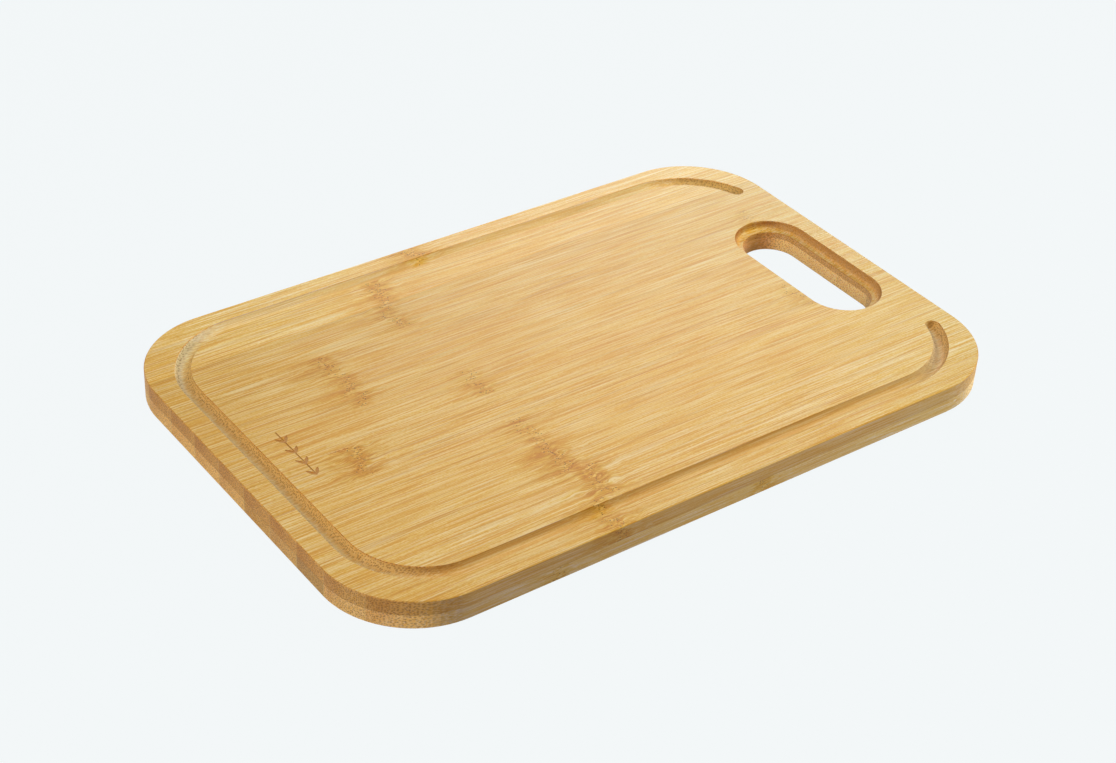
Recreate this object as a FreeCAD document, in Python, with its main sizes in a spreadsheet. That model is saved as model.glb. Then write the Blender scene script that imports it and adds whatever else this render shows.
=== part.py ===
import FreeCAD, Part
import Sketcher
import math
import os

# Cutting board of laminated bamboo, in millimetres.
# The origin is at the middle of the bottom face, +X runs along the length to
# the handle end, and +Z is up. The blank is two plies of edge-glued strips that
# run along X. It is machined after gluing: rounded corners, a round-bottomed
# juice groove, a hand slot with a coved recess and a small engraved sprig.

# Name, value and meaning of each driving dimension.
DIMENSIONS = [
    ("board_length", 380.0, "overall size along X"),
    ("board_width", 250.0, "overall size along Y"),
    ("ply_thickness", 7.7, "one ply; the board is two plies thick"),
    ("corner_radius", 47.0, "plan radius of the four corners"),
    ("edge_break", 0.4, "small chamfer along the outer edges"),
    ("strip_width", 23.5, "one full bamboo strip"),
    ("edge_strip_width", 15.9, "narrow strip at the +Y edge"),
    ("groove_radius", 4.0, "half-round section of the juice groove"),
    ("groove_side_inset", 14.65, "groove centreline to the long edges"),
    ("groove_end_inset", 15.6, "groove centreline to the plain short end"),
    ("groove_end_corner", 42.5, "centreline radius at the plain end"),
    ("groove_grip_corner", 45.4, "centreline radius at the handle end"),
    ("groove_grip_centre", 132.0, "corner centres at the handle end, from the middle"),
    ("groove_tip", 79.7, "groove tips, from the board's long axis"),
    ("groove_shift", 0.5, "the whole groove lies this far towards +Y"),
    ("slot_centre", 157.9, "hand slot, from the board's middle"),
    ("recess_length", 98.0, "recess round the hand slot, along Y"),
    ("recess_width", 42.0, "recess round the hand slot, along X"),
    ("recess_depth", 4.3, "depth of the recess"),
    ("recess_cove", 4.0, "radius between the recess wall and its floor"),
    ("slot_length", 88.0, "through slot, along Y"),
    ("slot_width", 32.0, "through slot, along X"),
    ("slot_ease", 0.5, "rounding of the slot's rims"),
    ("mark_offset", 157.5, "engraved sprig, from the middle towards the plain end"),
    ("mark_length", 38.0, "length of the sprig's stalk, along Y"),
    ("mark_line", 0.7, "width of the stalk"),
    ("mark_depth", 0.25, "depth of the engraving"),
    ("leaf_length", 6.0, "one engraved leaf"),
    ("leaf_width", 1.7, "one engraved leaf"),
]
STRIP_COUNT = 11
LEAF_PAIRS = 4
LEAF_LEAN = 32.0
# Boxes that only have to reach past the wood stand this far out of it.
CLEAR = 10.0
# Points nearer than this to a level lie on it.
TOUCH = 1e-4

UPWARDS = FreeCAD.Vector(0, 0, 1)

doc = FreeCAD.newDocument("cutting_board")


def make_sheet():
    """Spreadsheet of the driving dimensions, one named cell each."""
    table = doc.addObject("Spreadsheet::Sheet", "dims")
    for row, (name, value, meaning) in enumerate(DIMENSIONS, start=1):
        table.set("A%d" % row, name)
        table.set("B%d" % row, str(value))
        table.set("C%d" % row, meaning)
        table.setAlias("B%d" % row, name)
    doc.recompute()
    return table


sheet = make_sheet()


def bind(item, prop, expression):
    """Drive a property from the sheet; dimension names stand for their cells."""
    names = sorted((name for name, _, _ in DIMENSIONS), key=len, reverse=True)
    for name in names:
        expression = expression.replace("{%s}" % name, "dims.%s" % name)
    item.setExpression(prop, expression)


def origin_plane(body, role):
    return [f for f in body.Origin.OriginFeatures if f.Role == role][0]


def new_sketch(body, name, role, height=None, shift=None):
    """Empty sketch on an origin plane of the body, raised and shifted if asked."""
    sketch = body.newObject("Sketcher::SketchObject", name)
    sketch.AttachmentSupport = [(origin_plane(body, role), "")]
    sketch.MapMode = "FlatFace"
    if height:
        bind(sketch, "AttachmentOffset.Base.z", height)
    if shift:
        bind(sketch, "AttachmentOffset.Base.y", shift)
    return sketch


def drive(sketch, constraint, name, expression):
    """Add a dimension to a sketch, name it and bind it to the sheet."""
    index = sketch.addConstraint(constraint)
    sketch.renameConstraint(index, name)
    bind(sketch, "Constraints." + name, expression)


def line(x_a, y_a, x_b, y_b):
    return Part.LineSegment(FreeCAD.Vector(x_a, y_a, 0), FreeCAD.Vector(x_b, y_b, 0))


def arc(x, y, radius, start, end):
    circle = Part.Circle(FreeCAD.Vector(x, y, 0), UPWARDS, radius)
    return Part.ArcOfCircle(circle, math.radians(start), math.radians(end))


def outline_sketch(body):
    """Rounded rectangle of the blank, centred on the origin."""
    half_x = sheet.board_length / 2
    half_y = sheet.board_width / 2
    radius = sheet.corner_radius
    flat_x = half_x - radius
    flat_y = half_y - radius
    sketch = new_sketch(body, "outline", "XY_Plane")
    sketch.addGeometry([
        line(-flat_x, -half_y, flat_x, -half_y),
        arc(flat_x, -flat_y, radius, 270, 360),
        line(half_x, -flat_y, half_x, flat_y),
        arc(flat_x, flat_y, radius, 0, 90),
        line(flat_x, half_y, -flat_x, half_y),
        arc(-flat_x, flat_y, radius, 90, 180),
        line(-half_x, flat_y, -half_x, -flat_y),
        arc(-flat_x, -flat_y, radius, 180, 270),
    ], False)
    # Point 1 is a curve's start, 2 its end and 3 its centre.
    for edge in (0, 2, 4, 6):
        after = edge + 1
        before = (edge - 1) % 8
        sketch.addConstraint(Sketcher.Constraint("Tangent", edge, 2, after, 1))
        sketch.addConstraint(Sketcher.Constraint("Tangent", before, 2, edge, 1))
    sketch.addConstraint(Sketcher.Constraint("Horizontal", 0))
    sketch.addConstraint(Sketcher.Constraint("Vertical", 2))
    sketch.addConstraint(Sketcher.Constraint("Horizontal", 4))
    sketch.addConstraint(Sketcher.Constraint("Vertical", 6))
    for corner in (3, 5, 7):
        sketch.addConstraint(Sketcher.Constraint("Equal", 1, corner))
    sketch.addConstraint(Sketcher.Constraint("Symmetric", 1, 3, 5, 3, -1, 1))
    drive(sketch, Sketcher.Constraint("Radius", 1, radius), "corner", "{corner_radius}")
    drive(sketch, Sketcher.Constraint("DistanceX", 6, 1, 2, 1, 2 * half_x), "length", "{board_length}")
    drive(sketch, Sketcher.Constraint("DistanceY", 0, 1, 4, 1, 2 * half_y), "width", "{board_width}")
    return sketch


def slot_sketch(body, name, height, length, width):
    """Round-ended slot across the handle end, its long axis along Y."""
    radius = getattr(sheet, width) / 2
    reach = getattr(sheet, length) / 2 - radius
    centre = sheet.slot_centre
    sketch = new_sketch(body, name, "XY_Plane", height)
    sketch.addGeometry([
        line(centre + radius, -reach, centre + radius, reach),
        arc(centre, reach, radius, 0, 180),
        line(centre - radius, reach, centre - radius, -reach),
        arc(centre, -reach, radius, 180, 360),
    ], False)
    for edge in (0, 2):
        before = (edge - 1) % 4
        sketch.addConstraint(Sketcher.Constraint("Tangent", edge, 2, edge + 1, 1))
        sketch.addConstraint(Sketcher.Constraint("Tangent", before, 2, edge, 1))
    sketch.addConstraint(Sketcher.Constraint("Equal", 1, 3))
    sketch.addConstraint(Sketcher.Constraint("Symmetric", 1, 3, 3, 3, -1))
    drive(sketch, Sketcher.Constraint("DistanceX", -1, 1, 1, 3, centre), "centre", "{slot_centre}")
    drive(sketch, Sketcher.Constraint("Radius", 1, radius), "end_round", "{%s} / 2" % width)
    drive(sketch, Sketcher.Constraint("DistanceY", 3, 3, 1, 3, 2 * reach), "reach",
          "{%s} - {%s}" % (length, width))
    return sketch


def groove_route(body):
    """Centreline of the juice groove: a U that is open towards the handle."""
    far = sheet.board_width / 2 - sheet.groove_side_inset
    end = sheet.board_length / 2 - sheet.groove_end_inset
    plain = sheet.groove_end_corner
    grip = sheet.groove_grip_corner
    grip_x = sheet.groove_grip_centre
    turn = math.degrees(math.asin((sheet.groove_tip - (far - grip)) / grip))
    sketch = new_sketch(body, "groove_route", "XY_Plane", "2 * {ply_thickness}", "{groove_shift}")
    sketch.addGeometry([
        arc(grip_x, far - grip, grip, turn, 90),
        line(grip_x, far, plain - end, far),
        arc(plain - end, far - plain, plain, 90, 180),
        line(-end, far - plain, -end, plain - far),
        arc(plain - end, plain - far, plain, 180, 270),
        line(plain - end, -far, grip_x, -far),
        arc(grip_x, grip - far, grip, 270, 360 - turn),
    ], False)
    for piece in range(6):
        sketch.addConstraint(Sketcher.Constraint("Tangent", piece, 2, piece + 1, 1))
    sketch.addConstraint(Sketcher.Constraint("Horizontal", 1))
    sketch.addConstraint(Sketcher.Constraint("Horizontal", 5))
    sketch.addConstraint(Sketcher.Constraint("Equal", 0, 6))
    sketch.addConstraint(Sketcher.Constraint("Equal", 2, 4))
    sketch.addConstraint(Sketcher.Constraint("Symmetric", 2, 3, 4, 3, -1))
    sketch.addConstraint(Sketcher.Constraint("Symmetric", 0, 1, 6, 2, -1))
    drive(sketch, Sketcher.Constraint("Radius", 0, grip), "grip_corner", "{groove_grip_corner}")
    drive(sketch, Sketcher.Constraint("Radius", 2, plain), "end_corner", "{groove_end_corner}")
    drive(sketch, Sketcher.Constraint("DistanceX", -1, 1, 0, 3, grip_x), "grip_centre",
          "{groove_grip_centre}")
    drive(sketch, Sketcher.Constraint("DistanceX", 3, 1, -1, 1, end), "end_line",
          "{board_length} / 2 - {groove_end_inset}")
    drive(sketch, Sketcher.Constraint("DistanceY", -1, 1, 1, 1, far), "side_line",
          "{board_width} / 2 - {groove_side_inset}")
    drive(sketch, Sketcher.Constraint("DistanceY", -1, 1, 0, 1, sheet.groove_tip), "tip", "{groove_tip}")
    return sketch


def cut_groove(body):
    """Half-round groove along its route, with a ball end at each tip."""
    route = groove_route(body)
    doc.recompute()
    section = body.newObject("Sketcher::SketchObject", "groove_section")
    section.AttachmentSupport = [(route, "Edge1")]
    section.MapMode = "NormalToEdge"
    section.MapPathParameter = 0.0
    section.addGeometry(Part.Circle(FreeCAD.Vector(0, 0, 0), UPWARDS, sheet.groove_radius), False)
    section.addConstraint(Sketcher.Constraint("Coincident", 0, 3, -1, 1))
    drive(section, Sketcher.Constraint("Radius", 0, sheet.groove_radius), "ball", "{groove_radius}")
    doc.recompute()
    groove = body.newObject("PartDesign::SubtractivePipe", "groove")
    groove.Profile = section
    groove.Spine = (route, ["Edge%d" % (n + 1) for n in range(7)])
    doc.recompute()
    rise = "({groove_tip} - {board_width} / 2 + {groove_side_inset} + {groove_grip_corner})"
    for side in (1, -1):
        end = "far" if side > 0 else "near"
        ball = body.newObject("PartDesign::SubtractiveSphere", "groove_tip_%s" % end)
        bind(ball, "Radius", "{groove_radius}")
        bind(ball, "Placement.Base.x",
             "{groove_grip_centre} + sqrt({groove_grip_corner}^2 - %s^2)" % rise)
        bind(ball, "Placement.Base.y", "%d * {groove_tip} + {groove_shift}" % side)
        bind(ball, "Placement.Base.z", "2 * {ply_thickness}")
        doc.recompute()
    return body.Tip


def edges_at(shape, keep):
    """Names of the edges whose two end points and middle satisfy a test."""
    names = []
    for index, edge in enumerate(shape.Edges, start=1):
        middle = edge.valueAt((edge.FirstParameter + edge.LastParameter) / 2)
        points = [vertex.Point for vertex in edge.Vertexes] + [middle]
        if all(keep(point) for point in points):
            names.append("Edge%d" % index)
    return names


def dress_edges(body, kind, name, size, keep):
    """Round (Fillet) or break (Chamfer) the chosen edges of the body's last feature."""
    doc.recompute()
    base = body.Tip
    feature = body.newObject("PartDesign::" + kind, name)
    feature.Base = (base, edges_at(base.Shape, keep))
    bind(feature, "Radius" if kind == "Fillet" else "Size", size)
    doc.recompute()


def pocket(body, name, sketch, depth):
    """Cut a sketch down into the body and make sure that wood was removed."""
    before = body.Tip.Shape.Volume
    cut = body.newObject("PartDesign::Pocket", name)
    cut.Profile = sketch
    cut.Reversed = False
    bind(cut, "Length", depth)
    doc.recompute()
    removed = before - body.Tip.Shape.Volume
    if removed <= 0:
        raise RuntimeError("%s cuts nothing" % name)
    return cut


def make_board():
    """The whole machined board as one body, before it is divided into strips."""
    body = doc.addObject("PartDesign::Body", "machined_board")
    top = 2 * sheet.ply_thickness
    recess_floor = top - sheet.recess_depth
    rim_reach = sheet.slot_length / 2 + CLEAR / 10
    rim_start = sheet.slot_centre - sheet.slot_width / 2 - CLEAR / 10
    rim_end = sheet.slot_centre + sheet.slot_width / 2 + CLEAR / 10

    def on_level(point, *levels):
        return any(abs(point.z - level) < TOUCH for level in levels)

    def on_slot_rim(point):
        beside_slot = rim_start < point.x < rim_end and abs(point.y) < rim_reach
        return beside_slot and on_level(point, 0, recess_floor)

    blank = body.newObject("PartDesign::Pad", "blank")
    blank.Profile = outline_sketch(body)
    bind(blank, "Length", "2 * {ply_thickness}")
    dress_edges(body, "Chamfer", "broken_outline", "{edge_break}", lambda point: on_level(point, 0, top))

    recess_outline = slot_sketch(body, "recess_outline", "2 * {ply_thickness}",
                                 "recess_length", "recess_width")
    pocket(body, "recess", recess_outline, "{recess_depth}")
    dress_edges(body, "Fillet", "recess_cove", "{recess_cove}", lambda point: on_level(point, recess_floor))

    slot_outline = slot_sketch(body, "slot_outline", "2 * {ply_thickness}", "slot_length", "slot_width")
    pocket(body, "hand_slot", slot_outline, "2 * {ply_thickness} + 1")
    dress_edges(body, "Fillet", "eased_slot", "{slot_ease}", on_slot_rim)
    cut_groove(body)
    return body


def make_sprig():
    """Cutter for the engraved sprig: a stalk with leaves in leaning pairs."""
    top = "2 * {ply_thickness} - {mark_depth}"
    stalk = doc.addObject("Part::Box", "stalk")
    bind(stalk, "Length", "{mark_line}")
    bind(stalk, "Width", "{mark_length}")
    bind(stalk, "Height", "{mark_depth} + 1")
    bind(stalk, "Placement.Base.x", "-{mark_offset} - {mark_line} / 2")
    bind(stalk, "Placement.Base.y", "-{mark_length} / 2")
    bind(stalk, "Placement.Base.z", top)
    # A leaf is where two discs overlap, its tip on the leaf's own origin.
    bow = "(({leaf_length}^2 + {leaf_width}^2) / (4 * {leaf_width}))"
    pieces = [stalk]
    for side in (1, -1):
        for pair in range(LEAF_PAIRS):
            tag = "%s_%d" % ("right" if side > 0 else "left", pair + 1)
            discs = []
            for face in (1, -1):
                disc = doc.addObject("Part::Cylinder", "disc_%s_%s" % (tag, "a" if face > 0 else "b"))
                bind(disc, "Radius", bow)
                bind(disc, "Height", "{mark_depth} + 1")
                bind(disc, "Placement.Base.x", "%d * (%s - {leaf_width} / 2)" % (face, bow))
                bind(disc, "Placement.Base.y", "{leaf_length} / 2")
                discs.append(disc)
            leaf = doc.addObject("Part::MultiCommon", "leaf_" + tag)
            leaf.Shapes = discs
            leaf.Placement = FreeCAD.Placement(
                FreeCAD.Vector(0, 0, 0), FreeCAD.Rotation(UPWARDS, -side * LEAF_LEAN))
            bind(leaf, "Placement.Base.x", "-{mark_offset}")
            bind(leaf, "Placement.Base.y",
                 "-{mark_length} / 2 + %d * {mark_length} / %d" % (pair, LEAF_PAIRS))
            bind(leaf, "Placement.Base.z", top)
            pieces.append(leaf)
    sprig = doc.addObject("Part::MultiFuse", "sprig")
    sprig.Shapes = pieces
    return sprig


def strip_edge(number):
    """Expression for the +Y side of a strip; strip 1 is the one at the +Y edge."""
    if number == 1:
        return "{board_width} / 2 + %g" % CLEAR
    return "{board_width} / 2 - {edge_strip_width} - %d * {strip_width}" % (number - 2)


def strip_bottom(number):
    """Expression for the -Y side of a strip."""
    if number == STRIP_COUNT:
        return "-{board_width} / 2 - %g" % CLEAR
    return strip_edge(number + 1)


def cut_piece(name, board, low_corner, high_corner):
    """One sub-part: the machined board's wood between two corners."""
    block = doc.addObject("Part::Box", name + "_bounds")
    for axis, size, low, high in zip("xyz", ("Length", "Width", "Height"), low_corner, high_corner):
        bind(block, size, "(%s) - (%s)" % (high, low))
        bind(block, "Placement.Base." + axis, low)
    piece = doc.addObject("Part::Common", name)
    piece.Base = board
    piece.Tool = block
    piece.Label = name
    return piece


def make_strips(board):
    """Every strip of both plies; the hand slot parts the middle ones in two."""
    pieces = []
    start = "-{board_length} / 2 - %g" % CLEAR
    end = "{board_length} / 2 + %g" % CLEAR
    levels = {
        "lower": ("-%g" % CLEAR, "{ply_thickness}"),
        "upper": ("{ply_thickness}", "2 * {ply_thickness} + %g" % CLEAR),
    }
    for ply, (floor, ceiling) in levels.items():
        for number in range(1, STRIP_COUNT + 1):
            top_y = sheet.board_width / 2 - sheet.edge_strip_width - (number - 2) * sheet.strip_width
            bottom_y = top_y - sheet.strip_width
            half_slot = (sheet.slot_length - sheet.slot_width) / 2
            parted = number > 1 and top_y < sheet.slot_length / 2 and bottom_y > -sheet.slot_length / 2
            low_y = strip_bottom(number)
            high_y = strip_edge(number)
            spans = [("strip", start, end)]
            if parted:
                spans = [("strip", start, "{slot_centre}"), ("grip_block", "{slot_centre}", end)]
            for kind, low_x, high_x in spans:
                name = "%s_%s_%02d" % (ply, kind, number)
                pieces.append(cut_piece(name, board, (low_x, low_y, floor), (high_x, high_y, ceiling)))
    return pieces


def check(pieces):
    """Stop if any object failed or any sub-part isn't sound."""
    for item in doc.Objects:
        if "Invalid" in item.State or "Error" in item.State:
            raise RuntimeError("%s failed: %s" % (item.Name, item.State))
    for piece in pieces:
        shape = piece.Shape
        if shape.isNull() or not shape.isValid() or len(shape.Solids) != 1:
            raise RuntimeError("%s isn't one sound solid" % piece.Label)


machined = make_board()
engraved = doc.addObject("Part::Cut", "engraved_board")
engraved.Base = machined
engraved.Tool = make_sprig()
doc.recompute()
strips = make_strips(engraved)
doc.recompute()
check(strips)

os.makedirs("parts", exist_ok=True)
for strip in strips:
    strip.Shape.exportStep("parts/%s.step" % strip.Label)
total = sum(strip.Shape.Volume for strip in strips)
print("%d sub-parts, %.1f cm3 of %.1f cm3" % (len(strips), total / 1000, engraved.Shape.Volume / 1000))
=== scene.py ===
"""Looks of the laminated bamboo cutting board: bamboo for its strips, a pale floor, studio light, camera."""

import math
import random
from types import SimpleNamespace

import bpy
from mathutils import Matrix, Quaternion, Vector


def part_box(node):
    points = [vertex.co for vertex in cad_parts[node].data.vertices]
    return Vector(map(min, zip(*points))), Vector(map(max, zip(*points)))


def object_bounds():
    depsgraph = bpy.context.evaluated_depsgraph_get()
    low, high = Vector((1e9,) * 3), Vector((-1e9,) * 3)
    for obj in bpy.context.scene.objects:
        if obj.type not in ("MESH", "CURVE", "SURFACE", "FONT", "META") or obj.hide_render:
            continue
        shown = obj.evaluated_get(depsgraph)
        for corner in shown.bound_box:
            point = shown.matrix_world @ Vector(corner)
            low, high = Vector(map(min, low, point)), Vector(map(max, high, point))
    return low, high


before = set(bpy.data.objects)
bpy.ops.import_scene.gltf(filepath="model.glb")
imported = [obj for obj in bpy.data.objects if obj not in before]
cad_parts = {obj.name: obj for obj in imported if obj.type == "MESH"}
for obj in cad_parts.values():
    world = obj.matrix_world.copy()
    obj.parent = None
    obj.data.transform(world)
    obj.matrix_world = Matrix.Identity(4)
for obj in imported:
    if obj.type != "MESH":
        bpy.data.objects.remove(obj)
cad_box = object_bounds()

MM = 0.001
LOW, HIGH = cad_box
LENGTH = HIGH.x - LOW.x
TOP_MM = HIGH.z / MM
PLY_MM = TOP_MM / 2

# Places on the board, in mm. The hand slot and its recess lie in one box in X and Y.
SLOT_ZONE_X = (135.0, 183.0)
SLOT_ZONE_HALF_Y = 51.0
# The groove and the recess lie above this height.
CUTS_ABOVE_Z = 9.0
# The engraved sprig lies in a box in X and Y.
SPRIG_X = -157.5
SPRIG_HALF_X = 9.0
SPRIG_HALF_Y = 26.0
# An oval of painted sheen at the far left corner: its centre, its half length in X, and how much narrower it
# is in Y, squared.
SHEEN_SPOT = (-110.0, 120.0)
SHEEN_HALF_X = 80.0
SHEEN_SQUEEZE = 2.5
# One over the width of a strip in mm.
PER_STRIP = 0.0426

# Where the culm's nodes cross each strip of the upper ply: (mm along X, how strongly they show).
UPPER_NODES = {
    1: [(-17, 0.85)],
    2: [(-52, 0.85)],
    3: [(-56, 0.65)],
    4: [(-110, 0.55), (162, 0.35)],
    5: [(-108, 0.55), (161, 0.4)],
    6: [(-55, 0.45)],
    7: [(-136, 0.95), (133, 0.35)],
    8: [(-55, 0.5)],
    9: [(-57, 1.0)],
    10: [(-50, 1.0)],
    11: [(-61, 0.8)],
}
# The same for the front strip of the lower ply, the only one of it that shows from the side.
LOWER_FRONT_NODES = [(-99, 0.5), (21, 0.5)]
NO_NODE = (9999, 0.0)

# Tone of each strip: lightness, and how golden it is. Below 0 it is less yellow instead.
UPPER_TONES = {
    1: (1.15, -0.60), 2: (1.11, 0.05), 3: (1.00, 0.20), 4: (0.98, 0.55), 5: (0.98, 0.60), 6: (0.98, 0.80),
    7: (0.98, 0.55), 8: (0.99, 0.60), 9: (0.98, 0.40), 10: (0.985, -0.35), 11: (0.965, 0.10),
}
LOWER_TONES = [
    (1.18, -0.3), (1.24, 0.1), (1.22, 0.3), (1.26, 0.6), (1.24, 0.4), (1.17, 0.5),
    (0.98, 0.9), (1.00, 0.8), (0.80, 0.9), (1.20, -0.1), (1.30, -0.2),
]
LOWER_GRIP_TONE = (1.22, 0.4)

# Display colours, 0 to 255, of the grain from its darkest fibre to its palest.
GRAIN_STOPS = [
    (0.05, (202, 145, 44)),
    (0.30, (209, 159, 60)),
    (0.52, (213, 172, 80)),
    (0.74, (218, 183, 106)),
    (0.98, (222, 194, 134)),
]

# Each light: place and aim in metres, side of its square, watts, colour, and whether it shows in the gloss
# and in the diffuse light.
CENTRE = (0.0, 0.0, 0.0)
LIGHTS = {
    "overhead": ((0.05, -0.03, 0.36), (0.05, -0.03, 0.0), 0.5, 0.56, (1.0, 0.99, 0.97), False, True),
    "behind": ((1.15, 1.35, 0.65), CENTRE, 1.0, 20.0, (1.0, 0.99, 0.98), True, False),
    "behind_left": ((-0.45, 1.60, 0.70), CENTRE, 1.0, 10.0, (1.0, 0.99, 0.98), True, False),
    "right": ((1.00, -0.55, 0.35), CENTRE, 0.4, 11.5, (0.96, 0.99, 1.01), False, True),
    "front": ((-0.10, -0.85, 1.20), CENTRE, 0.5, 4.2, (1.0, 0.99, 0.97), False, True),
    "left": ((-0.98, -0.12, 0.46), CENTRE, 0.6, 5.0, (1.0, 0.98, 0.95), True, True),
}
WORLD_COLOUR, WORLD_STRENGTH = (0.97, 0.985, 1.0, 1.0), 0.20
FLOOR_COLOUR = (243, 247, 248)
FLOOR_GLOW, FLOOR_DIFFUSE = 0.99, 0.01
FLOOR_HALF, FLOOR_HEIGHT = 8.0, -0.0003

# The camera's direction from its target in degrees, its target and distance in lengths of the board.
CAMERA_TURN, CAMERA_RISE, CAMERA_ROLL = -37.81, 35.10, 3.39
CAMERA_TARGET = (-0.017, -0.0007, 0.0)
CAMERA_DISTANCE = 2.9133
LENS_MM, SENSOR_MM = 71.03, 36.0


def srgb(red, green, blue):
    """A display colour, 0 to 255, as the linear one that a shader takes."""
    out = []
    for part in (red, green, blue):
        part /= 255.0
        out.append(part / 12.92 if part <= 0.04045 else ((part + 0.055) / 1.055) ** 2.4)
    return (*out, 1.0)


class Signal:
    """A socket of a node tree that can be added, multiplied and so on."""

    def __init__(self, graph, socket):
        self.graph, self.socket = graph, socket

    def __add__(self, other):
        return self.graph.math("ADD", self, other)

    def __sub__(self, other):
        return self.graph.math("SUBTRACT", self, other)

    def __rsub__(self, other):
        return self.graph.math("SUBTRACT", other, self)

    def __mul__(self, other):
        return self.graph.math("MULTIPLY", self, other)

    __radd__ = __add__
    __rmul__ = __mul__


class Graph:
    """A material's node tree, written as expressions."""

    def __init__(self, material):
        material.use_nodes = True
        self.tree = material.node_tree
        self.tree.nodes.clear()

    def node(self, kind, **settings):
        made = self.tree.nodes.new(kind)
        for name, value in settings.items():
            setattr(made, name, value)
        return made

    def feed(self, value, socket):
        if isinstance(value, Signal):
            self.tree.links.new(value.socket, socket)
        else:
            socket.default_value = value

    def math(self, operation, *values):
        made = self.node("ShaderNodeMath", operation=operation)
        for value, socket in zip(values, made.inputs):
            self.feed(value, socket)
        return Signal(self, made.outputs[0])

    def step(self, value, start, end):
        """0 before start and 1 after end, smooth between them. Start may be past end."""
        made = self.node("ShaderNodeMapRange", interpolation_type="SMOOTHSTEP", clamp=True)
        flip = start > end
        for name, number in (("From Min", min(start, end)), ("From Max", max(start, end)),
                             ("To Min", float(flip)), ("To Max", float(not flip))):
            made.inputs[name].default_value = number
        self.feed(value, made.inputs["Value"])
        return Signal(self, made.outputs["Result"])

    def size(self, value):
        return self.math("ABSOLUTE", value)

    def join(self, x, y, z):
        made = self.node("ShaderNodeCombineXYZ")
        for value, socket in zip((x, y, z), made.inputs):
            self.feed(value, socket)
        return Signal(self, made.outputs[0])

    def split(self, vector):
        made = self.node("ShaderNodeSeparateXYZ")
        self.feed(vector, made.inputs[0])
        return [Signal(self, socket) for socket in made.outputs]

    def stretch(self, vector, *periods):
        """The vector with each part divided by its period."""
        made = self.node("ShaderNodeVectorMath", operation="DIVIDE")
        self.feed(vector, made.inputs[0])
        made.inputs[1].default_value = periods
        return Signal(self, made.outputs[0])

    def noise(self, vector, *periods, detail=1.0, rough=0.5):
        made = self.node("ShaderNodeTexNoise")
        made.inputs["Scale"].default_value = 1.0
        made.inputs["Detail"].default_value = detail
        made.inputs["Roughness"].default_value = rough
        self.feed(self.stretch(vector, *periods), made.inputs["Vector"])
        return Signal(self, made.outputs["Fac"])

    def cells(self, vector, *periods, scatter=1.0, flat=False):
        """Distance to the nearest of scattered points, in periods, and a random number for that point."""
        made = self.node("ShaderNodeTexVoronoi", voronoi_dimensions="2D" if flat else "3D")
        made.inputs["Scale"].default_value = 1.0
        made.inputs["Randomness"].default_value = scatter
        self.feed(self.stretch(vector, *periods), made.inputs["Vector"])
        pick = self.split(Signal(self, made.outputs["Color"]))[0]
        return Signal(self, made.outputs["Distance"]), pick

    def ramp(self, value, stops):
        made = self.node("ShaderNodeValToRGB")
        while len(made.color_ramp.elements) < len(stops):
            made.color_ramp.elements.new(0.5)
        for element, (place, colour) in zip(made.color_ramp.elements, stops):
            element.position, element.color = place, srgb(*colour)
        self.feed(value, made.inputs[0])
        return Signal(self, made.outputs[0])

    def mix(self, amount, first, second, blend="MIX"):
        made = self.node("ShaderNodeMix", data_type="RGBA", blend_type=blend)
        made.clamp_factor = True
        for value, socket in zip((amount, first, second), (made.inputs[0], made.inputs[6], made.inputs[7])):
            self.feed(value, socket)
        return Signal(self, made.outputs[2])

    def property(self, name):
        """A number that each object holds as a custom property."""
        made = self.node("ShaderNodeAttribute", attribute_type="OBJECT", attribute_name=name)
        return Signal(self, made.outputs["Fac"])

    def surface(self, shader):
        out = self.node("ShaderNodeOutputMaterial")
        self.feed(Signal(self, shader.outputs["BSDF"]), out.inputs["Surface"])


class Paint:
    """A colour that is built up layer by layer."""

    def __init__(self, graph, colour):
        self.graph, self.colour = graph, colour

    def over(self, amount, *display):
        """Towards a display colour."""
        self.colour = self.graph.mix(amount, self.colour, srgb(*display))

    def tint(self, amount, red, green, blue):
        """Multiplied by a colour."""
        self.colour = self.graph.mix(amount, self.colour, (red, green, blue, 1.0), "MULTIPLY")


def read_surface(g):
    """Where a point is on the board in mm, which way it faces, and which cut it is in."""
    at = SimpleNamespace()
    place = g.stretch(Signal(g, g.node("ShaderNodeTexCoord").outputs["Object"]), MM, MM, MM)
    at.x, at.y, at.z = g.split(place)
    at.normal = g.split(Signal(g, g.node("ShaderNodeNewGeometry").outputs["True Normal"]))
    at.facing = [g.size(part) for part in at.normal]
    at.end_face = g.step(at.facing[0], 0.05, 0.58)
    at.side_face = g.step(at.facing[1], 0.45, 0.95)
    at.flank = g.step(at.facing[1], 0.88, 1.0)
    at.top_face = g.step(at.facing[2], 0.3, 0.9)
    at.upper = g.property("upper")
    at.lower = 1.0 - at.upper

    # Each strip is a piece of its own culm, so its textures start elsewhere.
    seed = g.property("seed")
    at.own_x, at.own_y, at.own_z = at.x + seed * 211.0, at.y + seed * 97.0, at.z + seed * 61.0
    at.own = g.join(at.own_x, at.own_y, at.own_z)

    first_x, last_x = SLOT_ZONE_X
    slot_zone = (g.step(at.x, first_x - 1.0, first_x + 1.0) * g.step(at.x, last_x + 1.0, last_x - 1.0)
                 * g.step(g.size(at.y), SLOT_ZONE_HALF_Y + 1.0, SLOT_ZONE_HALF_Y - 1.0))
    at.bore = g.step(at.facing[2], 0.10, 0.02) * slot_zone
    at.cut = (g.step(at.z, TOP_MM - 0.45, TOP_MM - 0.7) * g.step(at.z, CUTS_ABOVE_Z - 0.5, CUTS_ABOVE_Z + 0.5)
              * g.step(at.facing[2], 0.02, 0.12))
    at.recess = at.cut * slot_zone
    at.groove = at.cut - at.recess
    at.uncut = 1.0 - at.cut
    return at


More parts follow.
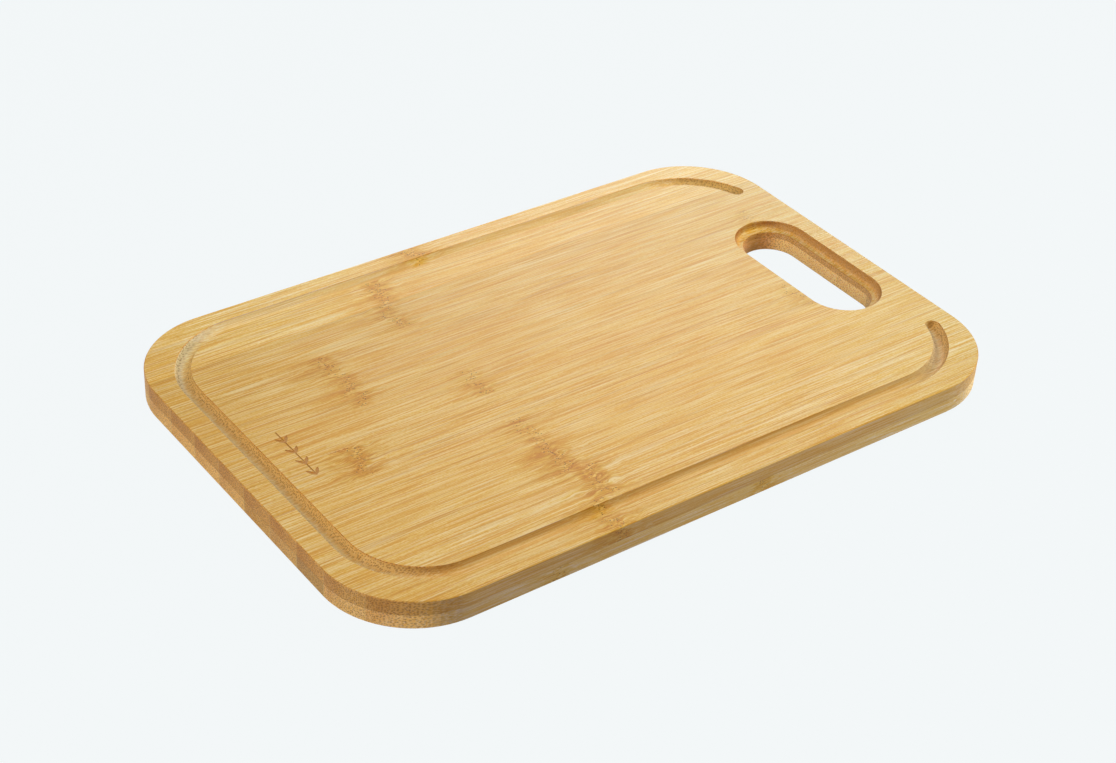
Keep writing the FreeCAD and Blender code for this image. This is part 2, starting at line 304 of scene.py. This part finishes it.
def read_culm(g, at):
    """How near a point is to a node of its culm, and the line of the fibre through it."""
    culm = SimpleNamespace(core=0.0, halo=0.0, tail=0.0, line=0.0)
    # The node's line is jagged, fibre by fibre.
    ragged = (g.noise(at.own, 400.0, 6.0, 6.0) - 0.5) * 16.0 + (g.noise(at.own, 400.0, 1.2, 1.2) - 0.5) * 9.0
    for which in ("a", "b"):
        force = g.property("force_" + which)
        past = at.x - g.property("knot_" + which) + ragged
        away = g.size(past)
        culm.line = g.math("MAXIMUM", g.step(away, 4.4, 1.2) * force, culm.line)
        culm.core = g.math("MAXIMUM", g.step(away, 9.0, 2.5) * force, culm.core)
        culm.halo = g.math("MAXIMUM", g.step(away, 26.0, 5.0) * force, culm.halo)
        culm.tail = g.math("MAXIMUM", g.step(away, 34.0, 3.0) * g.step(past, 3.0, -3.0) * force, culm.tail)

    # Fibres run along X, wander slowly and swerve round the nodes.
    wander = (g.noise(at.own, 130.0, 11.0, 11.0) - 0.5) * 3.0
    swerve = (g.noise(at.own, 10.0, 5.0, 5.0) - 0.5) * 5.0 * culm.halo
    culm.across = at.own_y + wander + swerve
    culm.fibre = g.join(at.own_x, culm.across, at.own_z)
    culm.smoke = g.noise(at.own, 18.0, 6.0, 6.0)
    culm.crumbs = g.noise(culm.fibre, 1.8, 0.8, 0.8, detail=2.0)
    return culm


def lay_grain(g, at, culm):
    """The fibres, coarse to fine. Gives the paint to go on with, and the two grains that the bump uses."""
    fibre = culm.fibre
    broad = g.noise(fibre, 160.0, 4.6, 4.6)
    middle = g.noise(fibre, 85.0, 1.2, 1.2, detail=2.0)
    fine = g.noise(fibre, 32.0, 0.40, 0.40, detail=2.0)
    mottle = g.noise(fibre, 6.0, 1.4, 1.4, detail=2.0)
    speck = g.noise(fibre, 1.3, 0.45, 0.45, detail=0.0)
    strength = 1.0 - at.end_face * 0.65 - at.flank * 0.35
    grain = ((broad - 0.5) * 0.45 + (middle - 0.5) * 1.30 + (fine - 0.5) * 3.70 + (speck - 0.5) * 0.80
             + (mottle - 0.5) * (culm.halo * 1.7 + 0.25)) * strength + 0.5
    paint = Paint(g, g.ramp(grain, GRAIN_STOPS))

    along = 1.0 - at.end_face
    plain = along - at.flank * 0.5
    dark_lines = g.step(g.noise(fibre, 95.0, 0.85, 0.85), 0.60, 0.72)
    pale_lines = g.step(g.noise(fibre, 110.0, 0.95, 0.95, detail=0.0), 0.66, 0.78)
    hairlines = g.step(g.noise(fibre, 75.0, 0.50, 0.50, detail=0.0), 0.62, 0.74)
    paint.over(dark_lines * 0.50 * plain, 198, 136, 48)
    paint.over(pale_lines * 0.30 * along, 227, 205, 152)
    paint.over(hairlines * 0.50 * plain, 193, 128, 50)
    return paint, middle, fine


def colour_groove(g, at, paint):
    """The groove is greyer and paler for its fuzzy fibre, partly painted sheen. Slopes facing the handle get
    more grey as painted sheen, slopes facing the plain end are darker, partly end grain and partly painted
    shade, and slopes facing the front get painted shade, most on the near run.
    """
    groove = at.groove
    faces_handle = g.step(at.normal[0], -0.15, 0.40)
    faces_plain_end = g.step(at.normal[0], 0.10, -0.40)
    front_slope_shade = groove * g.step(at.normal[1], -0.25, -0.92)
    plain_end = g.step(at.x, -140.0, -165.0)
    near_half = g.step(at.y, 20.0, -20.0)
    far_side = g.step(at.y, 60.0, 100.0)
    # Greyer fuzzy fibre over the whole groove, partly painted sheen, and more painted sheen on the slopes
    # facing the handle, where light falls.
    paint.over(groove * (faces_handle * 0.45 + 0.20), 216, 192, 146)
    paint.tint(groove, 1.12, 1.08, 1.07)
    paint.tint(groove * plain_end, 1.03, 1.14, 1.30)
    # Slopes facing the plain end: darker, partly end grain and partly painted shade.
    paint.tint(groove * faces_plain_end, 0.91, 0.80, 0.73)
    # Painted shade on the slopes facing the front, deeper on the near run than on the far one.
    paint.tint(front_slope_shade * near_half, 0.66, 0.62, 0.53)
    paint.tint(front_slope_shade * (1.0 - near_half), 0.71, 0.70, 0.70)
    paint.tint(groove * far_side, 1.0, 1.08, 1.12)


def dot_bundles(g, at, culm, paint):
    """The bundles of vessels: streaks on the faces along the grain, dots where it is cut across."""
    distance, pick = g.cells(g.join(culm.across, at.own_z, 0.0), 1.0, 1.0, 1.0, scatter=0.75, flat=True)
    bundle = g.step(distance, 0.45, 0.17)
    dots = bundle * at.end_face * (pick * 0.35 + 0.42) * (1.0 - at.recess * 0.5)
    streaks = bundle * g.step(g.noise(culm.fibre, 30.0, 2.0, 2.0), 0.40, 0.60) * (1.0 - at.end_face)
    paint.over(dots + streaks * 0.16, 134, 88, 42)
    return bundle


def draw_nodes(g, at, culm, paint):
    """A smoky halo, tails of darker fibre on one side, smeared bands and a crumbly, pitted line."""
    smears = g.noise(culm.fibre, 8.0, 1.7, 1.7, detail=3.0, rough=0.65)
    tails = g.noise(culm.fibre, 20.0, 0.9, 0.9)
    shade = (culm.core * g.step(smears, 0.39, 0.58) * 1.05
             + culm.tail * g.step(tails, 0.42, 0.60) * 0.55
             + culm.halo * g.step(culm.smoke, 0.36, 0.62) * 0.34
             + culm.line * g.step(culm.crumbs, 0.48, 0.60) * 0.70) * (1.0 - at.cut * 0.6)
    paint.tint(shade, 0.78, 0.57, 0.13)
    paint.tint(g.step(shade, 0.0, 0.5), 1.0, 0.98, 0.62)
    paint.over(culm.line * g.step(culm.crumbs, 0.50, 0.36) * 0.55, 230, 190, 92)
    distance, pick = g.cells(at.own, 1.5, 0.9, 0.9)
    pits = g.step(distance, 0.36, 0.16) * g.step(pick, 0.30, 0.42) * g.step(culm.line, 0.08, 0.45)
    paint.over(pits, 74, 38, 6)
    return pits


def tone_strips(g, at, paint):
    """Each strip's own tone, and painted sheen: the board is paler and less yellow towards the handle and in
    an oval at the far left corner.
    """
    golden, tone = g.property("golden"), g.property("tone")
    paint.tint(golden * 0.40, 1.0, 0.93, 0.78)
    paint.tint(golden * -1.0, 1.03, 1.07, 1.30)
    # Painted sheen: paler and less yellow towards the handle.
    sheen_towards_handle = g.step(at.x, 60.0, 200.0)
    paint.tint(sheen_towards_handle, 1.0, 1.09, 1.24)
    # Painted sheen: a paler, less yellow oval at the far left corner.
    off_x, off_y = at.x - SHEEN_SPOT[0], at.y - SHEEN_SPOT[1]
    corner_sheen = g.step(off_x * off_x + off_y * off_y * SHEEN_SQUEEZE, SHEEN_HALF_X ** 2, 0.0)
    paint.tint(corner_sheen, 1.04, 1.12, 1.26)
    paint.colour = g.mix(1.0, paint.colour, g.join(tone, tone, tone), "MULTIPLY")


def tone_sides(g, at, culm, paint):
    """The cut faces: the long sides, with painted shade towards the plain end, the ends, the slot's wall, and
    the dense side of each strip's end.
    """
    outer = 1.0 - at.bore
    plain_half, handle_end = g.step(at.x, 40.0, -150.0), g.step(at.x, 100.0, 150.0)
    near_edge = g.step(at.y, -70.0, -95.0)
    paint.tint(at.flank * at.upper * at.uncut, 0.79, 0.73, 0.96)
    paint.tint(at.flank * at.lower * outer, 0.69, 0.72, 1.10)
    # Painted shade: the long sides are darker towards the plain end.
    flank_shade = at.flank * at.uncut * (1.0 - at.end_face) * plain_half * (1.0 - at.upper * 0.4)
    paint.tint(flank_shade, 0.80, 0.77, 0.83)
    paint.tint(at.end_face * at.upper * (1.0 - at.groove), 1.13, 0.95, 1.05)
    paint.tint(at.end_face * at.lower, 1.20, 1.12, 1.55)
    paint.tint(at.end_face * at.lower * handle_end * outer, 0.91, 0.97, 1.05)
    paint.tint(at.end_face * at.uncut * near_edge, 0.94, 0.98, 1.12)
    paint.tint(at.bore * at.end_face * at.upper, 1.03, 1.08, 1.45)
    paint.tint(at.bore * at.end_face * at.lower, 1.18, 1.29, 1.60)
    paint.tint(at.bore * at.side_face * at.upper, 0.82, 0.69, 0.56)
    paint.tint(at.bore * at.side_face * at.lower, 0.60, 0.43, 0.33)
    across_strip = (at.y - g.property("low_y")) * PER_STRIP
    dense = g.step(across_strip, 0.15, 0.85) * 0.7 + (culm.smoke - 0.5) * 1.2 + (at.z - PLY_MM) * 0.03
    paint.tint(at.end_face * dense * at.uncut * (1.0 - at.bore * 0.7), 0.82, 0.72, 0.66)


def draw_glue(g, at, paint):
    """Glue lines, between the strips and between the plies."""
    to_edge = g.math("MINIMUM", g.size(at.y - g.property("low_y")), g.size(at.y - g.property("high_y")))
    strip_glue = g.step(to_edge, 0.42, 0.12)
    ply_glue = g.step(g.size(at.z - PLY_MM), 0.30, 0.08) * (1.0 - at.top_face)
    square_on = g.step(at.facing[0], 0.80, 1.0)
    paint.over(strip_glue * (square_on * (0.60 - at.upper * 0.35) + 0.08), 226, 190, 120)
    paint.over(ply_glue * (0.24 - at.bore * 0.14), 120, 80, 40)


def colour_recess(g, at, paint):
    """The wall of the recess is darker than its floor."""
    wall = at.recess * g.step(at.facing[2], 0.97, 0.70)
    paint.tint(wall * at.end_face, 0.74, 0.68, 0.74)
    paint.tint(wall * at.side_face, 0.53, 0.39, 0.28)
    paint.tint(at.recess - wall, 1.06, 1.01, 1.08)


def tint_arrises(g, at, paint):
    """The eased arrises go a little more orange."""
    arris = g.step(at.facing[2], 0.35, 0.55) * g.step(at.facing[2], 0.97, 0.85) * at.uncut
    paint.over(arris * 0.22, 204, 148, 62)


def burn_sprig(g, at, paint):
    """The engraved sprig is burnt in."""
    sunk = g.step(at.z, TOP_MM - 0.04, TOP_MM - 0.14) * at.upper
    burnt = (sunk * g.step(g.size(at.x - SPRIG_X), SPRIG_HALF_X, SPRIG_HALF_X - 0.5)
             * g.step(g.size(at.y), SPRIG_HALF_Y, SPRIG_HALF_Y - 1.0))
    paint.over(burnt * 0.60, 170, 104, 46)
    return burnt


def bamboo():
    """One material for every strip. What differs between strips comes from the numbers each object holds."""
    material = bpy.data.materials.new("bamboo")
    g = Graph(material)
    at = read_surface(g)
    culm = read_culm(g, at)
    paint, middle, fine = lay_grain(g, at, culm)
    colour_groove(g, at, paint)
    bundle = dot_bundles(g, at, culm, paint)
    pits = draw_nodes(g, at, culm, paint)
    tone_strips(g, at, paint)
    tone_sides(g, at, culm, paint)
    draw_glue(g, at, paint)
    colour_recess(g, at, paint)
    tint_arrises(g, at, paint)
    burnt = burn_sprig(g, at, paint)

    rough = ((middle - 0.5) * 0.20 + (fine - 0.5) * 0.16
             + at.end_face * 0.12 + at.cut * 0.15 + burnt * 0.15 + 0.40)
    height = ((fine - 0.5) * 0.8 + (middle - 0.5) * 0.4 - bundle * 0.35 - pits * 0.6
              + culm.crumbs * culm.line * 0.3)
    bump = g.node("ShaderNodeBump")
    bump.inputs["Strength"].default_value = 0.5
    bump.inputs["Distance"].default_value = 0.0001
    g.feed(height, bump.inputs["Height"])

    shader = g.node("ShaderNodeBsdfPrincipled")
    g.feed(paint.colour, shader.inputs["Base Color"])
    g.feed(rough, shader.inputs["Roughness"])
    shader.inputs["Specular IOR Level"].default_value = 0.20
    g.feed(Signal(g, bump.outputs["Normal"]), shader.inputs["Normal"])
    g.surface(shader)
    return material


def dress_strips(material):
    """Gives every CAD node the bamboo, and the numbers that make its strip differ from the next."""
    draw = random.Random(7)
    numbers = sorted(UPPER_TONES)
    seeds = {(ply, n): draw.uniform(1.0, 90.0) for ply in ("upper", "lower") for n in numbers}
    lower_tones = dict(zip(numbers, LOWER_TONES))
    lower_nodes = {n: [(draw.uniform(-180, -60), 0.7), (draw.uniform(40, 170), 0.7)] for n in numbers}
    lower_nodes[numbers[-1]] = LOWER_FRONT_NODES
    for name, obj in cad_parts.items():
        ply, number = name.split("_")[0], int(name.split("_")[-1])
        low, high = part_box(name)
        upper = ply == "upper"
        tone, golden = (UPPER_TONES if upper else lower_tones)[number]
        if name.startswith("lower_grip"):
            tone, golden = LOWER_GRIP_TONE
        knots = ((UPPER_NODES if upper else lower_nodes)[number] + [NO_NODE])[:2]
        values = {
            "seed": seeds[ply, number], "upper": float(upper), "tone": tone, "golden": golden,
            "low_y": low.y / MM, "high_y": high.y / MM,
            "knot_a": float(knots[0][0]), "force_a": float(knots[0][1]),
            "knot_b": float(knots[1][0]), "force_b": float(knots[1][1]),
        }
        for key, value in values.items():
            obj[key] = value
        for slot in obj.material_slots:
            slot.material = material


def glowing(name, colour, glow, diffuse):
    """A pale surface with hardly a shadow: almost all its own light, and a little of what falls on it."""
    material = bpy.data.materials.new(name)
    g = Graph(material)
    shader = g.node("ShaderNodeBsdfPrincipled")
    shader.inputs["Base Color"].default_value = tuple(part * diffuse for part in colour[:3]) + (1.0,)
    shader.inputs["Roughness"].default_value = 1.0
    shader.inputs["Specular IOR Level"].default_value = 0.0
    shader.inputs["Emission Color"].default_value = colour
    shader.inputs["Emission Strength"].default_value = glow
    g.surface(shader)
    return material


def plane(name, half, height, material):
    mesh = bpy.data.meshes.new(name)
    corners = [(-half, -half, height), (half, -half, height), (half, half, height), (-half, half, height)]
    mesh.from_pydata(corners, [], [(0, 1, 2, 3)])
    obj = bpy.data.objects.new(name, mesh)
    bpy.context.collection.objects.link(obj)
    mesh.materials.append(material)
    return obj


def area_light(name, place, aim, size, power, colour, gloss, diffuse):
    light = bpy.data.lights.new(name, "AREA")
    light.shape, light.size, light.energy, light.color = "SQUARE", size, power, colour
    obj = bpy.data.objects.new(name, light)
    obj.location = place
    obj.rotation_euler = (Vector(aim) - Vector(place)).to_track_quat("-Z", "Y").to_euler()
    obj.visible_camera = False
    obj.visible_glossy = gloss
    obj.visible_diffuse = diffuse
    bpy.context.collection.objects.link(obj)


def studio():
    paper = glowing("floor_paper", srgb(*FLOOR_COLOUR), FLOOR_GLOW, FLOOR_DIFFUSE)
    floor = plane("floor", FLOOR_HALF, FLOOR_HEIGHT, paper)
    floor.visible_diffuse = False
    world = bpy.data.worlds.new("studio")
    bpy.context.scene.world = world
    world.use_nodes = True
    back = world.node_tree.nodes["Background"]
    back.inputs["Color"].default_value = WORLD_COLOUR
    back.inputs["Strength"].default_value = WORLD_STRENGTH
    for name, settings in LIGHTS.items():
        area_light(name, *settings)
    bpy.context.scene.view_settings.view_transform = "Standard"


def camera():
    turn, rise, roll = (math.radians(angle) for angle in (CAMERA_TURN, CAMERA_RISE, CAMERA_ROLL))
    back = Vector((math.sin(turn) * math.cos(rise), -math.cos(turn) * math.cos(rise), math.sin(rise)))
    data = bpy.data.cameras.new("camera")
    data.lens, data.sensor_width = LENS_MM, SENSOR_MM
    obj = bpy.data.objects.new("camera", data)
    obj.location = Vector(CAMERA_TARGET) * LENGTH + back * CAMERA_DISTANCE * LENGTH
    obj.rotation_mode = "QUATERNION"
    obj.rotation_quaternion = (-back).to_track_quat("-Z", "Y") @ Quaternion((0, 0, 1), roll)
    bpy.context.collection.objects.link(obj)
    bpy.context.scene.camera = obj


camera()
studio()
dress_strips(bamboo())
